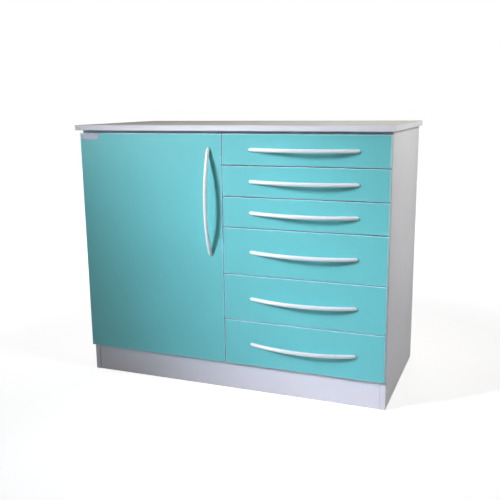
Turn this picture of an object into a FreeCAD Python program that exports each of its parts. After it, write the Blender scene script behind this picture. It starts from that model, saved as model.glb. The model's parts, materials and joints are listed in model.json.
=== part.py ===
import FreeCAD, Part
import os
import re
import Sketcher

# A floor cabinet for a treatment room: a white carcass with a turquoise door on its left and a
# stack of six turquoise drawers on its right. Millimetres. X runs to the right, the fronts face
# -Y and Z is up. The origin is on the floor, in the middle of the cabinet's box.

# How many there are of what repeats
SMALL_DRAWERS = 3
LARGE_DRAWERS = 3
DRAWERS = SMALL_DRAWERS + LARGE_DRAWERS
PIN_ROWS = 5

SIZES = {
    # Carcass
    "body_depth": 480,
    "board": 16,
    "plinth_height": 90,
    "plinth_setback": 2,
    "worktop_thickness": 16,
    "worktop_side_overhang": 10,
    "worktop_front_overhang": 10,
    "worktop_edge_radius": 1,
    "under_top_gap": 9,
    "rail_depth": 90,
    "back_thickness": 3,
    "back_inset": 12,
    "groove_depth": 6,
    # Wooden dowels that join the boards
    "dowel_diameter": 8,
    "dowel_in_face": 11,
    "dowel_in_end": 19,
    "dowel_inset": 30,
    # Screws that hold the worktop down on the rails
    "top_screw_diameter": 4,
    "top_screw_length": 28,
    "top_screw_play": 0.2,
    "top_screw_inset": 120,
    "screw_head_diameter": 8,
    "screw_head_height": 2.5,
    # Shelf and the pins that it lies on
    "shelf_setback": 20,
    "shelf_play": 1,
    "pin_diameter": 5,
    "pin_in_board": 9,
    "pin_collar_diameter": 8,
    "pin_collar_length": 8,
    "pin_pitch": 32,
    "pin_middle_height": 430,
    "pin_inset": 50,
    # Fronts
    "front_thickness": 16,
    "front_gap": 3,
    "front_reveal": 1,
    "bumper_gap": 2,
    "toe_gap": 2,
    "small_front": 90.5,
    "large_front": 142.5,
    "door_width": 494,
    "drawers_width": 501,
    # Drawer boxes
    "box_board": 12,
    "box_rear_room": 17,
    "box_foot": 20,
    "box_head": 14,
    "box_base": 4,
    "box_base_lift": 6,
    "box_groove": 6,
    # Full extension drawer runners: three channels, one inside the other
    "runner_room": 12.7,
    "runner_height": 45,
    "runner_wall": 1.2,
    "runner_setback": 3,
    "runner_rear_room": 12,
    "middle_shortening": 50,
    "ball_gap": 0.4,
    "web_gap": 0.8,
    # Bow handles
    "handle_span": 320,
    "handle_rise": 33,
    "handle_width": 12,
    "handle_thickness": 8.5,
    "handle_touch_past_screw": 2,
    "handle_tip_past_screw": 6,
    "handle_tip_ease": 1,
    "handle_post_diameter": 8,
    "handle_thread_diameter": 4,
    "handle_thread_depth": 6,
    "handle_hole_play": 0.4,
    "door_handle_inset": 42,
    "door_handle_drop": 206,
    # Screws that hold a drawer's front to its box
    "fixing_diameter": 4,
    "fixing_in_front": 10,
    "fixing_spacing": 200,
    # Blank plate on the door
    "plate_width": 63,
    "plate_height": 17,
    "plate_thickness": 0.5,
    "plate_side_inset": 5,
    "plate_top_inset": 3,
    # Concealed hinges: cup, cranked link, arm and mounting plate
    "hinge_inset": 100,
    "cup_diameter": 35,
    "cup_floor": 3,
    "cup_wall": 0.7,
    "cup_edge": 3,
    "cup_rim": 1.5,
    "cup_rim_thickness": 0.8,
    "wing_length": 62,
    "wing_width": 14,
    "cup_pivot_edge": 9.2,
    "cup_pivot_depth": 5.4,
    "ear_half_width": 3,
    "ear_thickness": 2.8,
    "elbow_edge": 19.5,
    "elbow_depth": 8.3,
    "arm_pivot_side": 20,
    "arm_pivot_depth": 5.7,
    "link_width": 12,
    "link_thickness": 2.4,
    "eye_radius": 2.6,
    "pivot_diameter": 2.5,
    "pivot_play": 0.05,
    "cheek_play": 0.4,
    "cheek": 1.2,
    "ear_play": 1,
    "nose_radius": 4,
    "arm_length": 56,
    "arm_height": 10,
    "arm_shoulder": 26,
    "mount_thickness": 3,
    "mount_depth": 38,
    "mount_width": 20,
    "mount_setback": 20,
    "mount_wing_depth": 14,
    "mount_wing_length": 52,
}

STACK = f"{SMALL_DRAWERS} * small_front + {LARGE_DRAWERS} * large_front + {DRAWERS - 1} * front_gap"

# Places and sizes that follow from the sizes above
PLACES = {
    "body_width": "door_width + front_gap + drawers_width + 2 * front_reveal",
    "body_left": "-body_width / 2",
    "body_right": "body_width / 2",
    "inside_left": "body_left + board",
    "inside_right": "body_right - board",
    "handle_reach": "handle_rise + handle_thickness / 2",
    "overall_depth": "handle_reach + front_thickness + bumper_gap + body_depth",
    "carcass_back": "overall_depth / 2",
    "carcass_front": "carcass_back - body_depth",
    "front_inner": "carcass_front - bumper_gap",
    "front_face": "front_inner - front_thickness",
    "back_rear": "carcass_back - back_inset",
    "back_front": "back_rear - back_thickness",
    "fronts_foot": "plinth_height + toe_gap",
    "fronts_head": f"fronts_foot + {STACK}",
    "body_height": "fronts_head + under_top_gap",
    "bottom_top": "plinth_height + board",
    "rail_foot": "body_height - board",
    "door_left": "body_left + front_reveal",
    "door_right": "door_left + door_width",
    "drawers_left": "door_right + front_gap",
    "drawers_right": "drawers_left + drawers_width",
    "partition_left": "door_right + front_gap / 2 - board / 2",
    "partition_right": "partition_left + board",
    "box_left": "partition_right + runner_room",
    "box_right": "inside_right - runner_room",
    "drawers_middle": "(drawers_left + drawers_right) / 2",
    "pin_front": "carcass_front + pin_inset",
    "pin_rear": "back_front - pin_inset",
    "shelf_foot": "pin_middle_height + pin_collar_diameter / 2",
    "dowel_length": "dowel_in_face + dowel_in_end",
    "box_depth": "back_front - front_inner - box_rear_room",
    "runner_front": "carcass_front + runner_setback",
    "runner_length": "back_front - runner_rear_room - runner_front",
    "runner_channel": "runner_room - runner_wall - web_gap",
    "middle_front": "runner_front + middle_shortening / 2",
    "middle_length": "runner_length - middle_shortening",
    "middle_height": "runner_height - 2 * (runner_wall + ball_gap)",
    "middle_channel": "runner_channel - runner_wall - web_gap",
    "inner_height": "middle_height - 2 * (runner_wall + ball_gap)",
    "inner_length": "front_inner + box_depth - runner_front",
    "handle_end": "handle_span / 2 + handle_tip_past_screw",
    "handle_touch": "handle_span / 2 + handle_touch_past_screw",
    "handle_tip_radius": "handle_width / 2 + handle_tip_ease",
    "handle_bow": "handle_rise - handle_thickness / 2",
    "handle_radius": "(handle_touch ^ 2 + handle_bow ^ 2) / (2 * handle_bow)",
    "handle_half_angle": "asin((handle_end + handle_thickness) / handle_radius)",
    "door_handle_x": "door_right - door_handle_inset",
    "door_handle_z": "fronts_head - door_handle_drop",
    "cup_depth": "front_thickness - cup_floor",
    "cup_x": "door_left + cup_edge + cup_diameter / 2",
    "cup_pivot_x": "door_left + cup_pivot_edge",
    "cup_pivot_y": "front_inner - cup_pivot_depth",
    "elbow_x": "door_left + elbow_edge",
    "elbow_y": "front_inner - elbow_depth",
    "arm_pivot_x": "inside_left + arm_pivot_side",
    "arm_pivot_y": "carcass_front + arm_pivot_depth",
    "arm_width": "link_width + 2 * (cheek_play + cheek)",
    "hinge_low": "fronts_foot + hinge_inset",
    "hinge_high": "fronts_head - hinge_inset",
}

# The drawers' fronts stand one on another, from the lowest, which has the highest number
for number in range(DRAWERS, 0, -1):
    below = f"drawer_{number + 1}_top + front_gap" if number < DRAWERS else "fronts_foot"
    tall = "small_front" if number <= SMALL_DRAWERS else "large_front"
    PLACES[f"drawer_{number}_foot"] = below
    PLACES[f"drawer_{number}_top"] = f"drawer_{number}_foot + {tall}"

doc = FreeCAD.newDocument("dental_cabinet")
sizes = doc.addObject("Spreadsheet::Sheet", "Sizes")
places = doc.addObject("Spreadsheet::Sheet", "Places")


def formula(text, inside_places=False):
    """Puts the sheet's name before each alias in a formula."""
    def with_sheet(match):
        word = match.group(0)
        if word in SIZES:
            return f"Sizes.{word}"
        if word in PLACES and not inside_places:
            return f"Places.{word}"
        return word
    return re.sub(r"[a-z][a-z_0-9]*", with_sheet, text)


for row, (alias, number) in enumerate(SIZES.items(), start=1):
    sizes.set(f"A{row}", alias)
    sizes.set(f"B{row}", str(number))
    sizes.setAlias(f"B{row}", alias)
doc.recompute()
for row, (alias, text) in enumerate(PLACES.items(), start=1):
    places.set(f"A{row}", alias)
    places.setAlias(f"B{row}", alias)
for row, (alias, text) in enumerate(PLACES.items(), start=1):
    places.set(f"B{row}", "=" + formula(text, inside_places=True))
doc.recompute()

TOWARDS_FRONT = FreeCAD.Rotation(FreeCAD.Vector(1, 0, 0), 90)
TOWARDS_BACK = FreeCAD.Rotation(FreeCAD.Vector(1, 0, 0), -90)
TOWARDS_RIGHT = FreeCAD.Rotation(FreeCAD.Vector(0, 1, 0), 90)
TOWARDS_LEFT = FreeCAD.Rotation(FreeCAD.Vector(0, 1, 0), -90)
UPRIGHT = FreeCAD.Rotation()

subparts = []


def value(text):
    """What a formula comes to, in millimetres or degrees."""
    result = sizes.evalExpression(formula(text))
    return float(getattr(result, "Value", result))


def bind(thing, prop, text):
    thing.setExpression(prop, formula(text))


def put(thing, spot, turn=UPRIGHT):
    """Places an object's own origin at a spot given by three formulas."""
    thing.Placement = FreeCAD.Placement(FreeCAD.Vector(), turn)
    for axis, text in zip("xyz", spot):
        bind(thing, f"Placement.Base.{axis}", text)


def keep(label, thing):
    """Marks an object as a sub-part, whose label names its file."""
    thing.Label = label
    subparts.append(thing)
    return thing


# Part primitives and booleans

def block(name, corner, size):
    """A rectangular block, from its lowest corner."""
    thing = doc.addObject("Part::Box", name)
    put(thing, corner)
    for prop, text in zip(("Length", "Width", "Height"), size):
        bind(thing, prop, text)
    return thing


def rod(name, start, turn, diameter, length):
    """A round bar that leaves its start along the turned Z axis."""
    thing = doc.addObject("Part::Cylinder", name)
    put(thing, start, turn)
    bind(thing, "Radius", f"({diameter}) / 2")
    bind(thing, "Height", length)
    return thing


def cut(name, base, tools):
    tool = tools[0]
    if len(tools) > 1:
        tool = doc.addObject("Part::Compound", f"{name}_tools")
        tool.Links = tools
    thing = doc.addObject("Part::Cut", name)
    thing.Base = base
    thing.Tool = tool
    return thing


def fuse(name, shapes):
    thing = doc.addObject("Part::MultiFuse", name)
    thing.Shapes = shapes
    return thing


def group(name, shapes):
    thing = doc.addObject("Part::Compound", name)
    thing.Links = shapes
    return thing


def screw(name, head_spot, turn, diameter, length):
    """A screw whose head starts behind the spot and whose shank goes on along the turn."""
    shank = rod(f"{name}_shank", head_spot, turn, diameter, length)
    head = rod(f"{name}_head", head_spot, turn.multiply(FreeCAD.Rotation(FreeCAD.Vector(1, 0, 0), 180)),
               "screw_head_diameter", "screw_head_height")
    return fuse(name, [shank, head])


# PartDesign bodies

def new_body(name, corner):
    body = doc.addObject("PartDesign::Body", name)
    put(body, corner)
    return body


def new_sketch(body, plane, lift="0"):
    """A sketch on one of its body's own origin planes, or lifted off it."""
    sketch = body.newObject("Sketcher::SketchObject", f"{body.Name}_sketch")
    sketch.AttachmentSupport = [(next(f for f in body.Origin.OriginFeatures if f.Role == plane), "")]
    sketch.MapMode = "FlatFace"
    bind(sketch, "AttachmentOffset.Base.z", lift)
    return sketch


def fix_point(sketch, geometry, end, spot):
    """Ties a point of a sketch to the sketch's origin (-1) or its axes (-2 upright, -1 level)."""
    for kind, line, text in (("DistanceX", -2, spot[0]), ("DistanceY", -1, spot[1])):
        if text == "0":
            sketch.addConstraint(Sketcher.Constraint("PointOnObject", geometry, end, line))
        else:
            distance = Sketcher.Constraint(kind, -1, 1, geometry, end, value(text))
            bind(sketch, f"Constraints[{sketch.addConstraint(distance)}]", text)


def draw_outline(sketch, points):
    """A closed outline of straight lines through points given by formulas."""
    spots = [FreeCAD.Vector(value(x), value(y), 0) for x, y in points]
    first = sketch.GeometryCount
    for index, spot in enumerate(spots):
        sketch.addGeometry(Part.LineSegment(spot, spots[(index + 1) % len(spots)]))
    for index in range(len(points)):
        after = first + (index + 1) % len(points)
        sketch.addConstraint(Sketcher.Constraint("Coincident", first + index, 2, after, 1))
    for index, spot in enumerate(points):
        fix_point(sketch, first + index, 1, spot)


def draw_circles(sketch, centres, diameter):
    for x, y in centres:
        middle = FreeCAD.Vector(value(x), value(y), 0)
        made = sketch.addGeometry(Part.Circle(middle, FreeCAD.Vector(0, 0, 1), value(diameter) / 2))
        fix_point(sketch, made, 3, (x, y))
        size = sketch.addConstraint(Sketcher.Constraint("Diameter", made, value(diameter)))
        bind(sketch, f"Constraints[{size}]", diameter)


def corners(width, height):
    return [("0", "0"), (width, "0"), (width, height), ("0", height)]


def pad(body, sketch, length, backwards=False):
    feature = body.newObject("PartDesign::Pad", f"{body.Name}_pad")
    feature.Profile = sketch
    bind(feature, "Length", length)
    feature.Reversed = backwards
    return feature


def pocket(body, sketch, length, along_normal):
    """Cuts a sketch into the solid, along the sketch's normal or against it."""
    feature = body.newObject("PartDesign::Pocket", f"{body.Name}_pocket")
    feature.Profile = sketch
    bind(feature, "Length", length)
    feature.Reversed = along_normal
    return feature


def drill(body, plane, lift, centres, diameter, depth, along_normal):
    sketch = new_sketch(body, plane, lift)
    draw_circles(sketch, centres, diameter)
    return pocket(body, sketch, depth, along_normal)


# Carcass

def across(spots, level):
    """Pairs each distance with one level."""
    return [(spot, level) for spot in spots]


BOTTOM_DOWELS = ["dowel_inset", "(body_depth - back_inset) / 2", "body_depth - back_inset - dowel_inset"]
RAIL_DOWELS = ["dowel_inset", "rail_depth - dowel_inset"]
REAR_RAIL = "back_front - carcass_front - rail_depth"
FRONT_RAIL_SPOTS = RAIL_DOWELS
REAR_RAIL_SPOTS = [f"{REAR_RAIL} + {spot}" for spot in RAIL_DOWELS]
TOP_SCREW_HOLE = "top_screw_diameter + top_screw_play"
PIN_SPOTS = [
    (column, f"pin_middle_height + ({step}) * pin_pitch")
    for column in ("pin_inset", "back_front - carcass_front - pin_inset")
    for step in range(-(PIN_ROWS // 2), PIN_ROWS // 2 + 1)
]


def side_panel(label, left, inner_lift, inwards, with_pin_holes):
    """A side that stands on the floor, grooved for the back and drilled for dowels."""
    body = new_body(label, (left, "carcass_front", "0"))
    sketch = new_sketch(body, "YZ_Plane")
    draw_outline(sketch, corners("body_depth", "body_height"))
    pad(body, sketch, "board")
    groove = new_sketch(body, "YZ_Plane", inner_lift)
    rear = "back_rear - carcass_front"
    front = "back_front - carcass_front"
    draw_outline(groove, [(front, "plinth_height"), (rear, "plinth_height"),
                          (rear, "body_height"), (front, "body_height")])
    pocket(body, groove, "groove_depth", inwards)
    dowels = across(BOTTOM_DOWELS, "plinth_height + board / 2")
    dowels += across(FRONT_RAIL_SPOTS + REAR_RAIL_SPOTS, "body_height - board / 2")
    drill(body, "YZ_Plane", inner_lift, dowels, "dowel_diameter", "dowel_in_face", inwards)
    if with_pin_holes:
        drill(body, "YZ_Plane", inner_lift, PIN_SPOTS, "pin_diameter", "pin_in_board", inwards)
    return keep(label, body)


def cross_board(label, front, foot, depth, dowels, partition_face, partition_spots, screw_spots):
    """A level board between the sides, with dowel holes in both ends and under or over the partition."""
    width = "inside_right - inside_left"
    body = new_body(label, ("inside_left", front, foot))
    sketch = new_sketch(body, "XY_Plane")
    draw_outline(sketch, corners(width, depth))
    pad(body, sketch, "board")
    ends = across(dowels, "board / 2")
    drill(body, "YZ_Plane", "0", ends, "dowel_diameter", "dowel_in_end", True)
    drill(body, "YZ_Plane", width, ends, "dowel_diameter", "dowel_in_end", False)
    above = [("partition_left + board / 2 - inside_left", spot) for spot in partition_spots]
    drill(body, "XY_Plane", partition_face, above, "dowel_diameter", "dowel_in_face", partition_face == "0")
    if screw_spots:
        drill(body, "XY_Plane", "0", screw_spots, TOP_SCREW_HOLE, "board", True)
    return keep(label, body)


PARTITION_DOWELS = ["dowel_inset", "back_front - carcass_front - dowel_inset"]
SCREW_COLUMNS = ["inside_left + top_screw_inset", "(partition_left + partition_right) / 2 + top_screw_inset",
                 "inside_right - top_screw_inset"]
SCREW_ROWS = ["carcass_front + rail_depth / 2", "back_front - rail_depth / 2"]


def partition():
    body = new_body("centre_partition", ("partition_left", "carcass_front", "bottom_top"))
    sketch = new_sketch(body, "YZ_Plane")
    high = "rail_foot - bottom_top"
    draw_outline(sketch, corners("back_front - carcass_front", high))
    pad(body, sketch, "board")
    ends = [("board / 2", spot) for spot in PARTITION_DOWELS]
    drill(body, "XY_Plane", "0", ends, "dowel_diameter", "dowel_in_end", True)
    drill(body, "XY_Plane", high, ends, "dowel_diameter", "dowel_in_end", False)
    pins = [(column, f"{level} - bottom_top") for column, level in PIN_SPOTS]
    drill(body, "YZ_Plane", "0", pins, "pin_diameter", "pin_in_board", True)
    return keep("centre_partition", body)


def worktop():
    """The top board, rounded along its upper front and side edges."""
    left = "body_left - worktop_side_overhang"
    front = "front_face - worktop_front_overhang"
    body = new_body("worktop", (left, front, "body_height"))
    sketch = new_sketch(body, "XY_Plane")
    draw_outline(sketch, corners("body_width + 2 * worktop_side_overhang", f"carcass_back - ({front})"))
    pad(body, sketch, "worktop_thickness")
    spots = [(f"{x} - ({left})", f"{y} - ({front})") for x in SCREW_COLUMNS for y in SCREW_ROWS]
    drill(body, "XY_Plane", "0", spots, TOP_SCREW_HOLE, "top_screw_length - board", True)
    doc.recompute()
    base = body.Tip
    above_holes = value("(worktop_thickness + top_screw_length - board) / 2")
    half_depth = value(f"(carcass_back - ({front})) / 2")
    names = []
    for index, edge in enumerate(base.Shape.Edges, start=1):
        upper = edge.BoundBox.ZMin > above_holes
        rear = edge.BoundBox.YMin > half_depth
        if upper and not rear:
            names.append(f"Edge{index}")
    rounding = body.newObject("PartDesign::Fillet", "worktop_rounding")
    rounding.Base = (base, names)
    bind(rounding, "Radius", "worktop_edge_radius")
    return keep("worktop", body)


def dowels():
    """All the wooden dowels, each half in one board's face and half in another's end."""
    pieces = []
    levels = across([f"carcass_front + {spot}" for spot in BOTTOM_DOWELS], "plinth_height + board / 2")
    rail_spots = [f"carcass_front + {spot}" for spot in FRONT_RAIL_SPOTS + REAR_RAIL_SPOTS]
    levels += across(rail_spots, "body_height - board / 2")
    for y, z in levels:
        for start, turn in (("inside_left - dowel_in_face", TOWARDS_RIGHT),
                            ("inside_right + dowel_in_face", TOWARDS_LEFT)):
            pieces.append(rod("dowel", (start, y, z), turn, "dowel_diameter", "dowel_length"))
    for spot in PARTITION_DOWELS:
        for start in ("bottom_top - dowel_in_face", "rail_foot - dowel_in_end"):
            place = ("partition_left + board / 2", f"carcass_front + {spot}", start)
            pieces.append(rod("dowel", place, UPRIGHT, "dowel_diameter", "dowel_length"))
    return keep("joint_dowels", group("joint_dowels", pieces))


def shelf_pins():
    """Four pins, each a shank in a board's hole and a collar under the shelf."""
    pieces = []
    for y in ("pin_front", "pin_rear"):
        for face, outwards, inwards in (("inside_left", TOWARDS_RIGHT, TOWARDS_LEFT),
                                        ("partition_left", TOWARDS_LEFT, TOWARDS_RIGHT)):
            spot = (face, y, "pin_middle_height")
            collar = rod("pin_collar", spot, outwards, "pin_collar_diameter", "pin_collar_length")
            shank = rod("pin_shank", spot, inwards, "pin_diameter", "pin_in_board")
            pieces.append(fuse("shelf_pin", [collar, shank]))
    return keep("shelf_pins", group("shelf_pins", pieces))


def carcass():
    side_panel("side_panel_left", "body_left", "board", False, True)
    side_panel("side_panel_right", "inside_right", "0", True, False)
    partition()
    cross_board("bottom_panel", "carcass_front", "plinth_height", "back_front - carcass_front",
                BOTTOM_DOWELS, "board", PARTITION_DOWELS, [])
    columns = [f"{x} - inside_left" for x in SCREW_COLUMNS]
    screws = across(columns, "rail_depth / 2")
    cross_board("top_rail_front", "carcass_front", "rail_foot", "rail_depth",
                RAIL_DOWELS, "0", ["dowel_inset"], screws)
    cross_board("top_rail_rear", "back_front - rail_depth", "rail_foot", "rail_depth",
                RAIL_DOWELS, "0", ["rail_depth - dowel_inset"], screws)
    worktop()
    keep("back_panel", block("back_panel",
         ("inside_left - groove_depth", "back_front", "plinth_height"),
         ("inside_right - inside_left + 2 * groove_depth", "back_thickness", "body_height - plinth_height")))
    keep("plinth_board", block("plinth_board", ("inside_left", "carcass_front + plinth_setback", "0"),
         ("inside_right - inside_left", "board", "plinth_height")))
    shelf_width = "partition_left - inside_left - 2 * shelf_play"
    shelf_depth = "back_front - carcass_front - shelf_setback - shelf_play"
    keep("shelf", block("shelf", ("inside_left + shelf_play", "carcass_front + shelf_setback", "shelf_foot"),
         (shelf_width, shelf_depth, "board")))
    shelf_pins()
    dowels()
    screws = [screw("worktop_screw", (x, y, "rail_foot"), UPRIGHT, "top_screw_diameter", "top_screw_length")
              for x in SCREW_COLUMNS for y in SCREW_ROWS]
    keep("worktop_screws", group("worktop_screws", screws))


# Runners

def channel(name, spot, opens, high, deep, length):
    """A steel channel along Y, centred on its spot's height, that opens to the right or the left."""
    body = new_body(name, spot)
    sketch = new_sketch(body, "XZ_Plane")
    sign = "" if opens == "right" else "-"
    half = f"({high}) / 2"
    outline = [("0", f"-{half}"), (deep, f"-{half}"), (deep, f"-{half} + runner_wall"),
               ("runner_wall", f"-{half} + runner_wall"), ("runner_wall", f"{half} - runner_wall"),
               (deep, f"{half} - runner_wall"), (deep, half), ("0", half)]
    draw_outline(sketch, [("0" if x == "0" else f"{sign}({x})", z) for x, z in outline])
    pad(body, sketch, length, backwards=True)
    return body


def runner_level(number):
    """The height of a drawer's runners: the middle of its box."""
    return f"(drawer_{number}_foot + box_foot + drawer_{number}_top - box_head) / 2"


def cabinet_rails(label, face, opens):
    rails = [channel(f"{label}_{number}", (face, "runner_front", runner_level(number)), opens,
                     "runner_height", "runner_channel", "runner_length")
             for number in range(1, DRAWERS + 1)]
    return keep(label, group(label, rails))


# Handles

def bow_handle(label, spot, turn):
    """A bow bar on two posts. It lies along X here, and its feet stand on the plane Y = 0."""
    oval = doc.addObject("Part::Ellipse", f"{label}_oval")
    put(oval, ("0", "-handle_rise", "0"), TOWARDS_LEFT)
    bind(oval, "MajorRadius", "handle_width / 2")
    bind(oval, "MinorRadius", "handle_thickness / 2")
    bow = doc.addObject("Part::Revolution", f"{label}_bow")
    bow.Source = oval
    bow.Axis = FreeCAD.Vector(0, 0, 1)
    bind(bow, "Base.y", "handle_radius - handle_rise")
    bind(bow, "Angle", "2 * handle_half_angle")
    bow.Symmetric = True
    bow.Solid = True
    deep = "2 * handle_rise"
    long = "2 * (handle_end - handle_tip_radius)"
    room = [block(f"{label}_room", (f"-({long}) / 2", f"-({deep})", "-handle_tip_radius"),
                  (long, deep, "2 * handle_tip_radius"))]
    posts = []
    threads = []
    for side in (-1, 1):
        end = (f"({side}) * ({long}) / 2", "0", "0")
        room.append(rod(f"{label}_round", end, TOWARDS_FRONT, "2 * handle_tip_radius", deep))
        screw_spot = (f"({side}) * handle_span / 2", "0", "0")
        posts.append(rod(f"{label}_post", screw_spot, TOWARDS_FRONT, "handle_post_diameter",
                         "handle_thickness / 2"))
        threads.append(rod(f"{label}_thread", screw_spot, TOWARDS_FRONT, "handle_thread_diameter",
                           "handle_thread_depth"))
    bar = doc.addObject("Part::MultiCommon", f"{label}_bar")
    bar.Shapes = [bow, fuse(f"{label}_slot", room)]
    handle = cut(label, fuse(f"{label}_whole", [bar] + posts), threads)
    put(handle, spot, turn)
    return keep(label, handle)


# Drawers

def handle_screw_spots(middle):
    return [f"{middle} - handle_span / 2", f"{middle} + handle_span / 2"]


def fixing_spots(middle):
    return [f"{middle} - fixing_spacing / 2", f"{middle} + fixing_spacing / 2"]


def drawer_front(number):
    low = f"drawer_{number}_foot"
    high = f"drawer_{number}_top - {low}"
    label = f"drawer_{number}_front"
    body = new_body(label, ("drawers_left", "front_inner", low))
    sketch = new_sketch(body, "XZ_Plane")
    draw_outline(sketch, corners("drawers_right - drawers_left", high))
    pad(body, sketch, "front_thickness")
    handle_holes = [(f"{x} - drawers_left", f"({high}) / 2") for x in handle_screw_spots("drawers_middle")]
    drill(body, "XZ_Plane", "0", handle_holes, "handle_thread_diameter + handle_hole_play",
          "front_thickness", True)
    fixings = [(f"{x} - drawers_left", f"({high}) / 2") for x in fixing_spots("drawers_middle")]
    drill(body, "XZ_Plane", "0", fixings, "fixing_diameter", "fixing_in_front", True)
    return keep(label, body)


def drawer_box(number):
    """Four boards and the base that slides into their grooves."""
    name = f"drawer_{number}_box"
    foot = f"drawer_{number}_foot + box_foot"
    tall = f"drawer_{number}_top - box_head - ({foot})"
    middle = f"(drawer_{number}_foot + drawer_{number}_top) / 2"
    inner = "box_left + box_board"
    inner_width = "box_right - box_left - 2 * box_board"
    base_corner = (f"{inner} - box_groove", "front_inner + box_board - box_groove", f"{foot} + box_base_lift")
    base_size = (f"{inner_width} + 2 * box_groove", "box_depth - box_board + box_groove", "box_base")
    boards = []
    for left in ("box_left", "box_right - box_board"):
        side = block(f"{name}_side", (left, "front_inner", foot), ("box_board", "box_depth", tall))
        groove = block(f"{name}_groove", base_corner, base_size)
        boards.append(cut(f"{name}_grooved_side", side, [groove]))
    front = block(f"{name}_head", (inner, "front_inner", foot), (inner_width, "box_board", tall))
    groove = block(f"{name}_groove", base_corner, base_size)
    holes = [rod(f"{name}_hole", (x, "front_inner", middle), TOWARDS_BACK,
                 "handle_thread_diameter + handle_hole_play", "box_board")
             for x in handle_screw_spots("drawers_middle")]
    holes += [rod(f"{name}_hole", (x, "front_inner", middle), TOWARDS_BACK, "fixing_diameter", "box_board")
              for x in fixing_spots("drawers_middle")]
    boards.append(cut(f"{name}_grooved_head", front, [groove] + holes))
    rear_foot = f"{foot} + box_base_lift + box_base"
    boards.append(block(f"{name}_rear", (inner, "front_inner + box_depth - box_board", rear_foot),
                        (inner_width, "box_board", f"{tall} - box_base_lift - box_base")))
    boards.append(block(f"{name}_base", base_corner, base_size))
    return keep(name, group(name, boards))


def drawer_screws(number):
    """The handle's two screws and the two that hold the front to the box."""
    middle = f"(drawer_{number}_foot + drawer_{number}_top) / 2"
    name = f"drawer_{number}_screws"
    inside = "front_inner + box_board"
    screws = [screw(f"{name}_handle", (x, inside, middle), TOWARDS_FRONT, "handle_thread_diameter",
                    "box_board + front_thickness + handle_thread_depth")
              for x in handle_screw_spots("drawers_middle")]
    screws += [screw(f"{name}_fixing", (x, inside, middle), TOWARDS_FRONT, "fixing_diameter",
                     "box_board + fixing_in_front")
               for x in fixing_spots("drawers_middle")]
    return keep(name, group(name, screws))


def drawer_runners(number):
    """The runner channel on each side of the box, and the middle channels that ride between."""
    level = runner_level(number)
    label = f"drawer_{number}_rails"
    rails = [channel(f"{label}_{opens}", (face, "runner_front", level), opens,
                     "inner_height", "middle_channel", "inner_length")
             for face, opens in (("box_left", "left"), ("box_right", "right"))]
    keep(label, group(label, rails))
    label = f"drawer_{number}_middle_rails"
    inset = "runner_wall + web_gap"
    rails = [channel(f"{label}_{opens}", (face, "middle_front", level), opens,
                     "middle_height", "middle_channel", "middle_length")
             for face, opens in ((f"partition_right + {inset}", "right"),
                                 (f"inside_right - ({inset})", "left"))]
    keep(label, group(label, rails))


def drawer(number):
    drawer_front(number)
    drawer_box(number)
    middle = f"(drawer_{number}_foot + drawer_{number}_top) / 2"
    bow_handle(f"drawer_{number}_handle", ("drawers_middle", "front_face", middle), UPRIGHT)
    drawer_screws(number)
    drawer_runners(number)


# Door

def door_panel():
    body = new_body("door_panel", ("door_left", "front_inner", "fronts_foot"))
    sketch = new_sketch(body, "XZ_Plane")
    draw_outline(sketch, corners("door_width", "fronts_head - fronts_foot"))
    pad(body, sketch, "front_thickness")
    cups = [("cup_x - door_left", f"{level} - fronts_foot") for level in ("hinge_low", "hinge_high")]
    drill(body, "XZ_Plane", "0", cups, "cup_diameter", "cup_depth", True)
    holes = [("door_handle_x - door_left", f"{z} - fronts_foot") for z in handle_screw_spots("door_handle_z")]
    drill(body, "XZ_Plane", "0", holes, "handle_thread_diameter + handle_hole_play", "front_thickness", True)
    return keep("door_panel", body)


def hinge_cup(level):
    """A pressed cup in the door, with a rim, two wings and two ears that carry the pivot."""
    bowl = rod("cup_bowl", ("cup_x", "front_inner", level), TOWARDS_FRONT, "cup_diameter", "cup_depth")
    rim_start = ("cup_x", "front_inner + cup_rim_thickness", level)
    rim = rod("cup_rim_plate", rim_start, TOWARDS_FRONT, "cup_diameter + 2 * cup_rim", "cup_rim_thickness")
    wings = block("cup_wings", ("cup_x", "front_inner", f"{level} - wing_length / 2"),
                  ("wing_width", "cup_rim_thickness", "wing_length"))
    hollow = rod("cup_hollow", rim_start, TOWARDS_FRONT, "cup_diameter - 2 * cup_wall",
                 "cup_depth + cup_rim_thickness - cup_wall")
    shell = cut("cup_shell", fuse("cup_blank", [bowl, rim, wings]), [hollow])
    floor = "front_inner - cup_depth + cup_wall"
    ear_size = ("2 * ear_half_width", f"cup_pivot_y + ear_half_width - ({floor})", "ear_thickness")
    upper = f"{level} + link_width / 2 + ear_play"
    lower = f"{level} - link_width / 2 - ear_play - ear_thickness"
    ears = [block("cup_ear", ("cup_pivot_x - ear_half_width", floor, start), ear_size)
            for start in (upper, lower)]
    trimmed_ears = doc.addObject("Part::Common", "cup_ears")
    trimmed_ears.Base = fuse("cup_ear_pair", ears)
    trimmed_ears.Tool = rod("cup_outside", ("cup_x", "front_inner", level), TOWARDS_FRONT,
                            "cup_diameter", "cup_depth")
    whole = fuse("cup_whole", [shell, trimmed_ears])
    hole = rod("cup_pivot_hole", ("cup_pivot_x", "cup_pivot_y", f"{level} - cup_diameter / 2"), UPRIGHT,
               "pivot_diameter + 2 * pivot_play", "cup_diameter")
    return cut("hinge_cup", whole, [hole])


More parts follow.
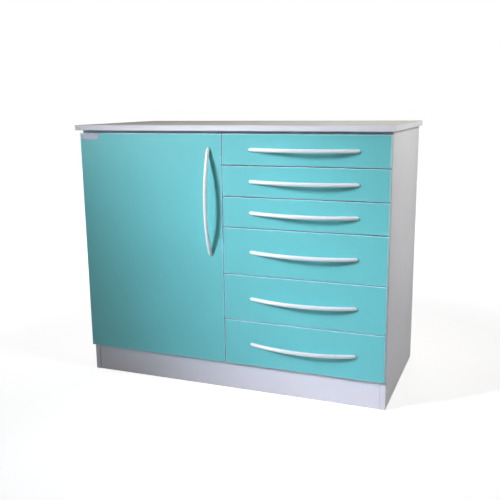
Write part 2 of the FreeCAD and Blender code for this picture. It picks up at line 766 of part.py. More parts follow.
def hinge_link(level):
    """A cranked steel link between the two pivots, with an eye round each."""
    spots = [FreeCAD.Vector(value(f"{name}_x"), value(f"{name}_y"), value(f"{level} - link_width / 2"))
             for name in ("cup_pivot", "elbow", "arm_pivot")]
    half = value("link_thickness / 2")
    wide = value("link_width")
    up = FreeCAD.Vector(0, 0, 1)
    solids = []
    for start, end in zip(spots, spots[1:]):
        along = (end - start).normalize()
        aside = up.cross(along) * half
        ring = [start + aside, start - aside, end - aside, end + aside, start + aside]
        solids.append(Part.Face(Part.makePolygon(ring)).extrude(up * wide))
    solids.append(Part.makeCylinder(half, wide, spots[1]))
    for spot in (spots[0], spots[-1]):
        solids.append(Part.makeCylinder(value("eye_radius"), wide, spot))
    shape = solids[0].fuse(solids[1:]).removeSplitter()
    for spot in (spots[0], spots[-1]):
        shape = shape.cut(Part.makeCylinder(value("pivot_diameter / 2"), wide, spot))
    thing = doc.addObject("Part::Feature", "hinge_link")
    thing.Shape = shape
    return thing


def hinge_pins(level):
    """The two pivots of a link, which turn in the arm's cheeks and in the cup's ears."""
    pieces = []
    for name, reach in (("arm_pivot", "arm_width / 2"),
                        ("cup_pivot", "link_width / 2 + ear_play + ear_thickness")):
        pieces.append(rod("hinge_pin", (f"{name}_x", f"{name}_y", f"{level} - ({reach})"), UPRIGHT,
                          "pivot_diameter", f"2 * ({reach})"))
    return pieces


def hinge_arm(level):
    """A folded arm: two cheeks and a web on the mounting plate, and a nose that holds the pivot."""
    body = new_body("hinge_arm", ("inside_left", "carcass_front", f"{level} - arm_width / 2"))
    sketch = new_sketch(body, "XY_Plane")
    top = "mount_thickness + arm_height"
    draw_outline(sketch, [("mount_thickness", "arm_shoulder"), ("mount_thickness", "arm_length"),
                          (top, "arm_length"), (top, "arm_shoulder + nose_radius"),
                          ("arm_pivot_side + nose_radius", "arm_pivot_depth"),
                          ("arm_pivot_side - nose_radius", "arm_pivot_depth")])
    pad(body, sketch, "arm_width")
    nose = new_sketch(body, "XY_Plane")
    draw_circles(nose, [("arm_pivot_side", "arm_pivot_depth")], "2 * nose_radius")
    pad(body, nose, "arm_width")
    inner = new_sketch(body, "XY_Plane", "cheek")
    past = "arm_pivot_side + 2 * nose_radius"
    before = "arm_pivot_depth - 2 * nose_radius"
    web = f"{top} - cheek"
    draw_outline(inner, [("0", before), (past, before), (past, "arm_shoulder"), (web, "arm_shoulder"),
                         (web, "arm_length"), ("0", "arm_length")])
    pocket(body, inner, "arm_width - 2 * cheek", True)
    pivot = [("arm_pivot_side", "arm_pivot_depth")]
    drill(body, "XY_Plane", "0", pivot, "pivot_diameter + 2 * pivot_play", "arm_width", True)
    return body


def hinge_mount(level):
    """The cross-shaped plate that is screwed to the side panel under the arm."""
    start = "carcass_front + mount_setback"
    middle = f"{start} + (mount_depth - mount_wing_depth) / 2"
    long = block("mount_bar", ("inside_left", start, f"{level} - mount_width / 2"),
                 ("mount_thickness", "mount_depth", "mount_width"))
    wing = block("mount_wing", ("inside_left", middle, f"{level} - mount_wing_length / 2"),
                 ("mount_thickness", "mount_wing_depth", "mount_wing_length"))
    return fuse("hinge_mount", [long, wing])


def door():
    door_panel()
    bow_handle("door_handle", ("door_handle_x", "front_face", "door_handle_z"), TOWARDS_LEFT)
    screws = [screw("door_handle_screw", ("door_handle_x", "front_inner", z), TOWARDS_FRONT,
                    "handle_thread_diameter", "front_thickness + handle_thread_depth")
              for z in handle_screw_spots("door_handle_z")]
    keep("door_handle_screws", group("door_handle_screws", screws))
    keep("door_plate", block("door_plate",
         ("door_left + plate_side_inset", "front_face - plate_thickness",
          "fronts_head - plate_top_inset - plate_height"),
         ("plate_width", "plate_thickness", "plate_height")))
    levels = ("hinge_low", "hinge_high")
    keep("hinge_cups", group("hinge_cups", [hinge_cup(level) for level in levels]))
    keep("hinge_links", group("hinge_links", [hinge_link(level) for level in levels]))
    keep("hinge_pins", group("hinge_pins", [pin for level in levels for pin in hinge_pins(level)]))
    keep("hinge_arms", group("hinge_arms", [hinge_arm(level) for level in levels]))
    keep("hinge_mounts", group("hinge_mounts", [hinge_mount(level) for level in levels]))


carcass()
cabinet_rails("runner_rails_left", "partition_right", "right")
cabinet_rails("runner_rails_right", "inside_right", "left")
for number in range(1, DRAWERS + 1):
    drawer(number)
door()
doc.recompute()

# Every object has to be sound before anything is written
for thing in doc.Objects:
    if "Invalid" in thing.State or "Error" in thing.State:
        raise RuntimeError(f"{thing.Label} didn't compute: {thing.State}")
for thing in subparts:
    if thing.Shape.isNull() or not thing.Shape.isValid() or not thing.Shape.Solids:
        raise RuntimeError(f"{thing.Label} has no sound solid")

os.makedirs("parts", exist_ok=True)
for thing in subparts:
    thing.Shape.exportStep(f"parts/{thing.Label}.step")
print(len(subparts), "sub-parts written")
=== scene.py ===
"""Dresses a floor cabinet, with a door and a stack of six drawers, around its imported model."""

import json
import math

import bmesh
import bpy
from mathutils import Matrix, Vector


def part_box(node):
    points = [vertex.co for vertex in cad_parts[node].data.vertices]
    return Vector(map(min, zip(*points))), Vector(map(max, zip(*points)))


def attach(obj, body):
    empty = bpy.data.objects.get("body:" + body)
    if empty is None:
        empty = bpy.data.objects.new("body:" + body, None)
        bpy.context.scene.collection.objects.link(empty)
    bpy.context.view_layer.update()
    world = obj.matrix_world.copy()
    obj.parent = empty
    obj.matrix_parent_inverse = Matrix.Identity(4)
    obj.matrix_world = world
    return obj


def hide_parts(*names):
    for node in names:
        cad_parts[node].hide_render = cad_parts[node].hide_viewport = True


bl_info = {
    "name": "Floor cabinet with door and drawers",
    "version": (1, 0, 0),
    "blender": (4, 5, 0),
    "location": "3D View > Sidebar > Cabinet",
    "description": "Boards, fronts, handles, runners and hinges of a white and turquoise floor cabinet",
    "category": "Add Mesh",
}

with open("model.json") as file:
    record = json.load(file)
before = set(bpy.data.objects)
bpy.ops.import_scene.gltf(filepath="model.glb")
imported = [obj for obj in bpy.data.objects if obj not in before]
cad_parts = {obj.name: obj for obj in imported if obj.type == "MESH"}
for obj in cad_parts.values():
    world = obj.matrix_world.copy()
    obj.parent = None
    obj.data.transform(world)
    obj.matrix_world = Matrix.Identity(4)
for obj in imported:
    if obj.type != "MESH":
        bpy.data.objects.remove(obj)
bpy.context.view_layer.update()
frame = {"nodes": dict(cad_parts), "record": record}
NODES = frame["nodes"]
BODIES = frame["record"]["behaviour"]["bodies"]
BODY_OF = {node: body for body, nodes in BODIES.items() for node in nodes}
DRAWERS = [name.removesuffix("_front") for name in sorted(NODES)
           if name.startswith("drawer_") and name.endswith("_front")]
MM = 0.001
AXES = "xyz"


# Settings that a user may change

def size(name, default, description):
    return bpy.props.FloatProperty(name=name, default=default * MM, description=description,
                                   unit="LENGTH", precision=5, min=0)


def colour(name, default, description):
    return bpy.props.FloatVectorProperty(name=name, default=default, description=description,
                                         subtype="COLOR", size=3, min=0, max=1)


def number(name, default, description):
    return bpy.props.FloatProperty(name=name, default=default, description=description, min=0)


class CabinetSizes(bpy.types.PropertyGroup):
    """Sizes of what the dressed pieces add to the frame"""
    board_rounding: size("Board rounding", 0.5, "Radius of the boards' long edges")
    edging: size("Edging", 1.5, "Thickness of the plastic edging round the fronts")
    edging_rounding: size("Edging rounding", 1.2, "Radius of the edging's outer edges")
    plinth_joint: size("Plinth joint", 1.5, "Width of the fine joint at each end of the plinth board")
    plate_rounding: size("Plate rounding", 1.5, "Corner radius of the blank plate")
    handle_width: size("Handle width", 12, "Width of a handle's bar across the front")
    handle_thickness: size("Handle thickness", 10, "Thickness of a handle's bar away from the front")
    handle_taper: size("Handle taper", 42, "Length over which a handle's bar narrows towards its end")
    handle_tip: size("Handle tip", 10, "Length of the rounding at each end of a handle's bar")
    handle_foot: size("Handle foot", 7.5, "Diameter of the foot under each end of a handle")
    screw_head: size("Screw head", 7, "Diameter of the small screws' heads")
    screw_height: size("Screw height", 1.6, "Height of the pan heads on the hinges and the drawers' rails")
    flat_height: size("Flat head height", 0.5, "Height of the flat heads inside the cabinet's rails")
    runner_wall: size("Runner wall", 1.2, "Thickness of the runners' sheet")
    runner_screw_inset: size("Runner screw inset", 35, "Distance of a runner's outer screws from its ends")
    cup_wing: size("Cup wing", 62, "Length of the wings of a hinge's cup")
    cup_wing_width: size("Cup wing width", 14, "Width of the wings, which start at the cup's middle")
    cup_screw_reach: size("Cup screw reach", 26, "Distance of a cup's screws from the hinge's middle")
    mount_screw_reach: size("Mount screw reach", 21, "Distance of a mount's screws from the hinge's middle")
    arm_web: size("Arm web", 10, "Height of a hinge arm's web above its mount")
    arm_screw_inset: size("Arm screw inset", 6, "Distance of an arm's screws from the ends of its web")
    arm_web_length: size("Arm web length", 26, "Length of a hinge arm's web")
    bumper: size("Bumper", 6, "Diameter of the clear bumpers behind the fronts")
    bumper_height: size("Bumper height", 1.6, "Height of the clear bumpers")
    bumper_inset: size("Bumper inset", 40, "Distance of the door's bumpers from its top and bottom")


class CabinetColours(bpy.types.PropertyGroup):
    """Colours of the cabinet's finishes"""
    melamine: colour("White melamine", (0.80, 0.83, 0.91), "Film and edging on the carcass and the boxes")
    worktop: colour("Worktop laminate", (0.66, 0.65, 0.615), "Pale warm grey laminate on the worktop")
    turquoise: colour("Turquoise film", (0.145, 0.60, 0.64), "Film on the door and the drawer fronts")
    # The edging's colour is partly its own pale plastic and partly painted light: it is made paler and bluer
    # than the plastic to paint the highlights on its rounded edges and the light in the gaps between the
    # fronts.
    edging: colour("Edging", (0.50, 0.86, 0.96), "Plastic edging round the fronts")
    chipboard: colour("Chipboard", (0.55, 0.40, 0.25), "Bare board where no film or edging covers it")
    hardboard: colour("Hardboard", (0.70, 0.70, 0.71), "Lacquer on the back panel and the boxes' bases")
    lacquer: colour("White lacquer", (0.77, 0.825, 0.87), "Lacquer on the handles")
    zinc: colour("Zinc plating", (0.62, 0.64, 0.67), "Runners and most screws")
    nickel: colour("Nickel plating", (0.66, 0.64, 0.60), "Hinges, their screws and the shelf pins")
    aluminium: colour("Satin aluminium", (0.25, 0.255, 0.30), "Blank plate on the door")
    beech: colour("Beech", (0.62, 0.42, 0.25), "Dowels in the joints")
    rubber: colour("Clear bumper", (0.75, 0.77, 0.78), "Bumpers behind the fronts")
    floor: colour("Floor", (0.66, 0.66, 0.66), "Pale floor under the cabinet")


class CabinetLight(bpy.types.PropertyGroup):
    """Studio lamps and surroundings"""
    key: number("Key", 1.66, "Power of the front left lamp that faces the upper drawers, in watts")
    low: number("Low", 2.4, "Power of the lamp beside it that faces the lower drawers, in watts")
    high: number("High", 0.75, "Power of the lamp beside it that faces the door's top, in watts")
    fill: number("Fill", 2.25, "Power of the wide lamp behind them, in watts")
    side: number("Side", 1.8, "Power of the narrow lamp high on the right, in watts")
    back: number("Back", 14, "Power of the wide lamp behind the cabinet, in watts")
    end: number("End", 14, "Power of the wide lamp at the cabinet's left end, in watts")
    world: number("Surroundings", 0.12, "Strength of the light from all round")


def sizes():
    return bpy.context.scene.cabinet_sizes


def colours():
    return bpy.context.scene.cabinet_colours


# Procedural finishes

class Finish:
    """A material under construction: a Principled shader and the textures that feed it.

    Its plain roughness shows where no texture varies it.
    """

    def __init__(self, name, tone, roughness, metallic=0, stretch=(1, 1, 1)):
        self.tone = tuple(tone)
        self.material = bpy.data.materials.new(name)
        self.material.use_nodes = True
        self.nodes = self.material.node_tree.nodes
        self.shader = self.nodes["Principled BSDF"]
        self.shader.inputs["Roughness"].default_value = roughness
        self.shader.inputs["Metallic"].default_value = metallic
        place = self.nodes.new("ShaderNodeTexCoord")
        mapping = self.nodes.new("ShaderNodeMapping")
        mapping.inputs["Scale"].default_value = stretch
        self.link(place.outputs["Object"], mapping.inputs["Vector"])
        self.place = mapping.outputs["Vector"]

    def link(self, source, target):
        self.material.node_tree.links.new(source, target)

    def noise(self, scale, detail, roughness=0.5):
        texture = self.nodes.new("ShaderNodeTexNoise")
        texture.inputs["Scale"].default_value = scale
        texture.inputs["Detail"].default_value = detail
        texture.inputs["Roughness"].default_value = roughness
        self.link(self.place, texture.inputs["Vector"])
        return texture.outputs["Fac"]

    def chips(self, scale):
        texture = self.nodes.new("ShaderNodeTexVoronoi")
        texture.inputs["Scale"].default_value = scale
        self.link(self.place, texture.inputs["Vector"])
        split = self.nodes.new("ShaderNodeSeparateColor")
        self.link(texture.outputs["Color"], split.inputs["Color"])
        return split.outputs["Red"]

    def spread(self, source, low, high, start=0.3, end=0.7):
        """Stretches a texture's values to a range."""
        stretch = self.nodes.new("ShaderNodeMapRange")
        for name, amount in (("From Min", start), ("From Max", end), ("To Min", low), ("To Max", high)):
            stretch.inputs[name].default_value = amount
        self.link(source, stretch.inputs["Value"])
        return stretch.outputs["Result"]

    def tint(self, source, low, high, start=0.3, end=0.7):
        """Varies the finish's colour by a texture, between two shares of its brightness."""
        mix = self.nodes.new("ShaderNodeMix")
        mix.data_type = "RGBA"
        darker, lighter = [socket for socket in mix.inputs if socket.type == "RGBA"]
        darker.default_value = (*shade(self.tone, low), 1)
        lighter.default_value = (*shade(self.tone, high), 1)
        self.link(self.spread(source, 0, 1, start, end), mix.inputs["Factor"])
        self.link(next(s for s in mix.outputs if s.type == "RGBA"), self.shader.inputs["Base Color"])

    def vary_roughness(self, source, low, high):
        self.link(self.spread(source, low, high), self.shader.inputs["Roughness"])

    def bump(self, source, height):
        """Raises the surface by a texture, by a height in metres."""
        relief = self.nodes.new("ShaderNodeBump")
        relief.inputs["Strength"].default_value = 1
        relief.inputs["Distance"].default_value = height
        self.link(source, relief.inputs["Height"])
        if self.shader.inputs["Normal"].is_linked:
            before = self.shader.inputs["Normal"].links[0].from_socket
            self.link(before, relief.inputs["Normal"])
        self.link(relief.outputs["Normal"], self.shader.inputs["Normal"])

    def set(self, name, amount):
        self.shader.inputs[name].default_value = amount


def shade(tone, factor):
    return tuple(min(1, channel * factor) for channel in tone)


def melamine_film():
    finish = Finish("white_melamine_film", colours().melamine, roughness=0.42)
    finish.tint(finish.noise(scale=5, detail=2), low=0.985, high=1.01)
    finish.vary_roughness(finish.noise(scale=35, detail=4), low=0.36, high=0.5)
    finish.bump(finish.noise(scale=2600, detail=2), height=0.02 * MM)
    finish.set("Specular IOR Level", 0.25)
    return finish.material


def worktop_laminate():
    finish = Finish("worktop_laminate", colours().worktop, roughness=0.65)
    finish.tint(finish.noise(scale=420, detail=4, roughness=0.7), low=0.93, high=1.06)
    finish.vary_roughness(finish.noise(scale=60, detail=3), low=0.6, high=0.75)
    finish.bump(finish.noise(scale=1400, detail=3), height=0.04 * MM)
    finish.set("Specular IOR Level", 0.02)
    return finish.material


def melamine_edging():
    finish = Finish("white_melamine_edging", colours().melamine, roughness=0.34)
    finish.tint(finish.noise(scale=14, detail=2), low=0.97, high=1.0)
    finish.vary_roughness(finish.noise(scale=60, detail=3), low=0.28, high=0.4)
    finish.bump(finish.noise(scale=900, detail=2), height=0.01 * MM)
    finish.set("Specular IOR Level", 0.3)
    return finish.material


def bare_chipboard():
    finish = Finish("bare_chipboard", colours().chipboard, roughness=0.85)
    finish.tint(finish.chips(scale=420), low=0.7, high=1.25, start=0, end=1)
    finish.bump(finish.chips(scale=420), height=0.2 * MM)
    finish.bump(finish.noise(scale=1800, detail=3), height=0.12 * MM)
    finish.set("Specular IOR Level", 0.25)
    return finish.material


def lacquered_hardboard():
    finish = Finish("lacquered_hardboard", colours().hardboard, roughness=0.5)
    finish.tint(finish.noise(scale=160, detail=6, roughness=0.65), low=0.95, high=1.02)
    finish.vary_roughness(finish.noise(scale=50, detail=3), low=0.42, high=0.6)
    finish.bump(finish.noise(scale=900, detail=4, roughness=0.6), height=0.05 * MM)
    return finish.material


def turquoise_film():
    finish = Finish("turquoise_film", colours().turquoise, roughness=0.4)
    finish.tint(finish.noise(scale=3.5, detail=3), low=0.96, high=1.03)
    finish.vary_roughness(finish.noise(scale=40, detail=4), low=0.34, high=0.48)
    finish.bump(finish.noise(scale=2400, detail=2), height=0.02 * MM)
    finish.set("Specular IOR Level", 0.6)
    return finish.material


# Pale edging whose colour is partly painted light: painted highlights on its rounded edges and painted light
# in the gaps between the fronts.
def edging_with_painted_light():
    finish = Finish("pale_plastic_edging", colours().edging, roughness=0.35)
    finish.tint(finish.noise(scale=22, detail=2), low=0.97, high=1.02)
    finish.vary_roughness(finish.noise(scale=80, detail=3), low=0.28, high=0.42)
    finish.bump(finish.noise(scale=1100, detail=2), height=0.01 * MM)
    return finish.material


def white_lacquer():
    finish = Finish("white_handle_lacquer", colours().lacquer, roughness=0.28)
    finish.tint(finish.noise(scale=18, detail=2), low=0.99, high=1.005)
    finish.vary_roughness(finish.noise(scale=60, detail=2), low=0.27, high=0.32)
    finish.bump(finish.noise(scale=300, detail=1), height=0.006 * MM)
    finish.set("Coat Weight", 0.3)
    finish.set("Coat Roughness", 0.12)
    return finish.material


def zinc_plating():
    finish = Finish("zinc_plating", colours().zinc, roughness=0.34, metallic=1, stretch=(1, 0.06, 1))
    finish.tint(finish.noise(scale=240, detail=3), low=0.9, high=1.08)
    finish.vary_roughness(finish.noise(scale=700, detail=3), low=0.26, high=0.44)
    finish.bump(finish.noise(scale=1500, detail=2), height=0.01 * MM)
    return finish.material


def nickel_plating():
    finish = Finish("nickel_plating", colours().nickel, roughness=0.24, metallic=1)
    finish.tint(finish.noise(scale=160, detail=3), low=0.93, high=1.06)
    finish.vary_roughness(finish.noise(scale=500, detail=3), low=0.17, high=0.32)
    finish.bump(finish.noise(scale=900, detail=2), height=0.01 * MM)
    return finish.material


def satin_aluminium():
    finish = Finish("satin_aluminium", colours().aluminium, roughness=0.36, metallic=1,
                    stretch=(0.05, 1, 1))
    finish.tint(finish.noise(scale=3000, detail=3), low=0.9, high=1.05)
    finish.vary_roughness(finish.noise(scale=3000, detail=2), low=0.3, high=0.45)
    finish.bump(finish.noise(scale=4000, detail=2), height=0.01 * MM)
    return finish.material


def beech_wood():
    finish = Finish("beech_dowel", colours().beech, roughness=0.6, stretch=(1, 0.15, 1))
    finish.tint(finish.noise(scale=500, detail=5, roughness=0.6), low=0.85, high=1.1)
    finish.bump(finish.noise(scale=900, detail=4), height=0.06 * MM)
    return finish.material


def clear_bumper():
    finish = Finish("clear_bumper", colours().rubber, roughness=0.3)
    finish.tint(finish.noise(scale=300, detail=2), low=0.96, high=1.02)
    finish.vary_roughness(finish.noise(scale=200, detail=2), low=0.22, high=0.36)
    finish.set("Transmission Weight", 0.35)
    return finish.material


def material_of(maker):
    """The material that a maker above makes, made once."""
    key = "finish_" + maker.__name__
    scene = bpy.context.scene
    if key not in scene:
        scene[key] = maker().name
    return bpy.data.materials[scene[key]]


# Meshes

# Points this near to a side lie on it, and triangles this nearly level with each other are one face
TOUCH = 0.02 * MM
FLAT = math.radians(0.5)
# The least share of a face's normal along an axis for a face that is square to it: exactly, nearly, roughly
SQUARE, NEARLY_SQUARE, ROUGHLY_SQUARE = 0.9999, 0.95, 0.7
# How near to a board's side a face counts as a part of it, in roundings
ROUNDING_REACH = 1.1
# The drawer boxes' rounding, as a share of the boards', and their base's reach, as a share of the box
BOX_ROUNDING_SHARE = 0.5
BASE_REACH_SHARE = 0.25
# The most that the edging's rounding may take of its thickness
EDGING_ROUNDING_SHARE = 0.9
BOARD_SEGMENTS, STRIP_SEGMENTS, PLATE_SEGMENTS = 2, 3, 5
# The places of a board's finishes among its materials
FILM, BAND, CORE, BASE = range(4)


def add_object(name, data):
    made = bpy.data.objects.new(name, data)
    bpy.context.scene.collection.objects.link(made)
    return made


def piece(name, mesh, makers, body, slot, *replaced):
    """Puts a finished mesh into the scene as a piece of the object."""
    thing = add_object(name, mesh)
    # A grown mesh brings its tree's material along
    if mesh.materials:
        mesh.materials.clear()
    for maker in makers:
        mesh.materials.append(material_of(maker))
    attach(thing, body)
    if replaced:
        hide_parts(*replaced)


def to_mesh(name, shape):
    mesh = bpy.data.meshes.new(name)
    shape.to_mesh(mesh)
    shape.free()
    return mesh


def islands(shape):
    """The separate solids of a mesh, each as a list of its vertices."""
    left = set(shape.verts)
    found = []
    while left:
        group = [left.pop()]
        for vertex in group:
            for edge in vertex.link_edges:
                other = edge.other_vert(vertex)
                if other in left:
                    left.remove(other)
                    group.append(other)
        found.append(group)
    return found


def limits(vertices):
    """The lowest and highest corners of the box round some vertices."""
    low = Vector(min(v.co[axis] for v in vertices) for axis in range(3))
    high = Vector(max(v.co[axis] for v in vertices) for axis in range(3))
    return low, high


def sides_at(spot, low, high, reach):
    """The sides of a box, as pairs of axis and end, that a point lies within a reach of."""
    found = set()
    for axis in range(3):
        if spot[axis] - low[axis] < reach:
            found.add((axis, 0))
        if high[axis] - spot[axis] < reach:
            found.add((axis, 1))
    return found


def shared_sides(edge, low, high):
    """The sides of a box on which an edge lies."""
    return set.intersection(*(sides_at(vertex.co, low, high, TOUCH) for vertex in edge.verts))


def repaint(node, maker):
    """Gives a node that stays another finish."""
    materials = NODES[node].data.materials
    materials.clear()
    materials.append(material_of(maker))


def solid_of(node):
    """A node's solid with its triangles merged into flat faces."""
    shape = bmesh.new()
    shape.from_mesh(NODES[node].data)
    bmesh.ops.remove_doubles(shape, verts=shape.verts, dist=TOUCH)
    bmesh.ops.dissolve_limit(shape, angle_limit=FLAT, verts=shape.verts, edges=shape.edges)
    return shape


def shade_faces(shape):
    """Shades the flat faces flat and the round ones smooth, with sharp edges between them."""
    for face in shape.faces:
        face.smooth = max(abs(along) for along in face.normal) < SQUARE
    for edge in shape.edges:
        edge.smooth = len({face.smooth for face in edge.link_faces}) == 1


def side_set(words):
    """Turns words such as -y and +z into pairs of axis and end."""
    return {(AXES.index(word[1]), int(word[0] == "+")) for word in words.split()}


def finish_faces(shape, banded, reach):
    """Gives each face of a board its film, its edging or the bare core."""
    for group in islands(shape):
        low, high = limits(group)
        thin = min(range(3), key=lambda axis: high[axis] - low[axis])
        for face in {face for vertex in group for face in vertex.link_faces}:
            sides = sides_at(face.calc_center_median(), low, high, reach)
            edges = {side for side in sides if side[0] != thin}
            outer = len(edges) < len(sides)
            if outer and (abs(face.normal[thin]) > NEARLY_SQUARE or not edges):
                face.material_index = FILM
            elif edges & banded:
                face.material_index = BAND
            else:
                face.material_index = CORE


def bevel(shape, edges, width, segments):
    """Rounds some edges of a mesh; the new faces are in the result."""
    return bmesh.ops.bevel(shape, geom=edges, offset=width, segments=segments, profile=0.5,
                           affect="EDGES", clamp_overlap=True)


def round_boards(shape, rounding):
    """Rounds the outer edges of each board in a mesh."""
    chosen = []
    for group in islands(shape):
        low, high = limits(group)
        for edge in {edge for vertex in group for edge in vertex.link_edges}:
            if len(shared_sides(edge, low, high)) > 1:
                chosen.append(edge)
    bevel(shape, chosen, rounding, BOARD_SEGMENTS)


def draw_in(shape, axes, gap):
    """Draws a board's ends in by a gap, along each of the named axes."""
    low, high = limits(shape.verts)
    for vertex in shape.verts:
        for axis in map(AXES.index, axes):
            if vertex.co[axis] - low[axis] < TOUCH:
                vertex.co[axis] += gap
            elif high[axis] - vertex.co[axis] < TOUCH:
                vertex.co[axis] -= gap


def board(node, banded, film=melamine_film, joint=0):
    """Stands for a node of boards: rounded edges, film on the faces, edging and bare core on the rest."""
    rounding = sizes().board_rounding
    shape = solid_of(node)
    draw_in(shape, "x", joint)
    round_boards(shape, rounding)
    shade_faces(shape)
    finish_faces(shape, side_set(banded), ROUNDING_REACH * rounding)
    piece(f"{node}_board", to_mesh(node, shape), (film, melamine_edging, bare_chipboard),
          BODY_OF[node], "white_melamine", node)


def drawer_box(node):
    """A drawer's box: film on its walls, edging on their tops and lacquered hardboard as its base."""
    low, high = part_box(node)
    shape = solid_of(node)
    round_boards(shape, BOX_ROUNDING_SHARE * sizes().board_rounding)
    shade_faces(shape)
    middle, reach = (low + high) / 2, BASE_REACH_SHARE * (high - low)
    for face in shape.faces:
        away = face.calc_center_median() - middle
        if abs(face.normal.z) < ROUGHLY_SQUARE:
            face.material_index = FILM
        elif abs(away.x) < reach.x and abs(away.y) < reach.y:
            face.material_index = BASE
        else:
            face.material_index = BAND
    piece(f"{node}_boards", to_mesh(node, shape),
          (melamine_film, melamine_edging, bare_chipboard, lacquered_hardboard),
          BODY_OF[node], "white_melamine", node)


def rounded_block(shape, low, high, rounding, sides, segments, material=0):
    """Adds a block to a mesh, with its edges rounded where two of the given sides meet."""
    made = bmesh.ops.create_cube(shape, size=1)["verts"]
    for vertex in made:
        vertex.co = Vector(low[axis] if vertex.co[axis] < 0 else high[axis] for axis in range(3))
    edges = []
    for edge in {edge for vertex in made for edge in vertex.link_edges}:
        if shared_sides(edge, low, high) <= sides:
            edges.append(edge)
    for face in {face for vertex in made for face in vertex.link_faces}:
        face.material_index = material
    for face in bevel(shape, edges, rounding, segments)["faces"]:
        face.material_index = material


def front_board(node):
    """A front: a turquoise board, with its holes, in a frame of four pale edging strips, whose paleness is
    partly painted highlights and painted light in the gaps.
    """
    edging = sizes().edging
    rounding = min(sizes().edging_rounding, EDGING_ROUNDING_SHARE * edging)
    low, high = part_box(node)
    inner_low = Vector((low.x + edging, low.y, low.z + edging))
    inner_high = Vector((high.x - edging, high.y, high.z - edging))
    shape = solid_of(node)
    draw_in(shape, "xz", edging)
    for face in shape.faces:
        outer = sides_at(face.calc_center_median(), inner_low, inner_high, TOUCH)
        face.material_index = FILM if outer else CORE
    strips = (("-x", low, Vector((inner_low.x, high.y, high.z))),
              ("+x", Vector((inner_high.x, low.y, low.z)), high),
              ("-z", Vector((inner_low.x, low.y, low.z)), Vector((inner_high.x, high.y, inner_low.z))),
              ("+z", Vector((inner_low.x, low.y, inner_high.z)), Vector((inner_high.x, high.y, high.z))))
    for side, start, end in strips:
        rounded_block(shape, start, end, rounding, side_set(f"{side} -y +y"), STRIP_SEGMENTS, BAND)
    shade_faces(shape)
    piece(f"{node}_board", to_mesh(node, shape), (turquoise_film, edging_with_painted_light, bare_chipboard),
          BODY_OF[node], "turquoise_board", node)


# Geometry Nodes

class Tree:
    """A Geometry Nodes tree under construction, with named inputs."""

    def __init__(self, name):
        self.group = bpy.data.node_groups.new(name, "GeometryNodeTree")
        self.group.interface.new_socket("Geometry", in_out="OUTPUT", socket_type="NodeSocketGeometry")
        self.inputs = self.group.nodes.new("NodeGroupInput")
        self.output = self.group.nodes.new("NodeGroupOutput")

    def input(self, name, kind):
        self.group.interface.new_socket(name, in_out="INPUT", socket_type=f"NodeSocket{kind}")
        return self.inputs.outputs[name]

    def lengths(self, *names):
        return [self.input(name, "Float") for name in names]

    def node(self, kind, settings=None, **values):
        """Adds a node; its inputs are given by name, as a value or another node's socket."""
        made = self.group.nodes.new(kind)
        for key, setting in (settings or {}).items():
            setattr(made, key, setting)
        for key, amount in values.items():
            self.feed(made.inputs[key.replace("_", " ")], amount)
        return made

    def feed(self, socket, amount):
        if isinstance(amount, bpy.types.NodeSocket):
            self.group.links.new(amount, socket)
        else:
            socket.default_value = amount

    def math(self, operation, first, second=0.0):
        made = self.group.nodes.new("ShaderNodeMath")
        made.operation = operation
        self.feed(made.inputs[0], first)
        self.feed(made.inputs[1], second)
        return made.outputs[0]

    def vector(self, x=0.0, y=0.0, z=0.0):
        return self.node("ShaderNodeCombineXYZ", X=x, Y=y, Z=z).outputs[0]

    def join(self, *parts):
        made = self.group.nodes.new("GeometryNodeJoinGeometry")
        for part in parts:
            self.group.links.new(part, made.inputs[0])
        return made.outputs[0]

    def on_spots(self, base, shape, turn):
        """Puts a copy of a shape on each vertex of a base mesh."""
        points = self.node("GeometryNodeMeshToPoints", Mesh=base)
        return self.node("GeometryNodeInstanceOnPoints", Points=points.outputs[0], Instance=shape,
                         Rotation=turn).outputs[0]

    def finish(self, geometry, material):
        realized = self.node("GeometryNodeRealizeInstances", Geometry=geometry)
        painted = self.node("GeometryNodeSetMaterial", Geometry=realized.outputs[0], Material=material)
        self.group.links.new(painted.outputs[0], self.output.inputs[0])
        return self.group


def grow(name, tree, values, base=None):
    """Runs a tree on a base mesh and returns the plain mesh that it makes."""
    seed = add_object(name, base or bpy.data.meshes.new(name))
    modifier = seed.modifiers.new("shape", "NODES")
    modifier.node_group = tree
    sockets = {item.name: item.identifier for item in tree.interface.items_tree if item.in_out == "INPUT"}
    for key, amount in values.items():
        modifier[sockets[key]] = amount
    graph = bpy.context.evaluated_depsgraph_get()
    mesh = bpy.data.meshes.new_from_object(seed.evaluated_get(graph), depsgraph=graph)
    seed.modifiers.remove(modifier)
    bpy.data.objects.remove(seed)
    return mesh


# The points along a handle's bow and round its bar, and its forms as shares of its sizes
BOW_POINTS = 121
BAR_SIDES = 28
BAR_END_SHARE = 0.93
LEAST_BAR_SHARE = 0.02
FOOT_HEIGHT_SHARE = 0.6


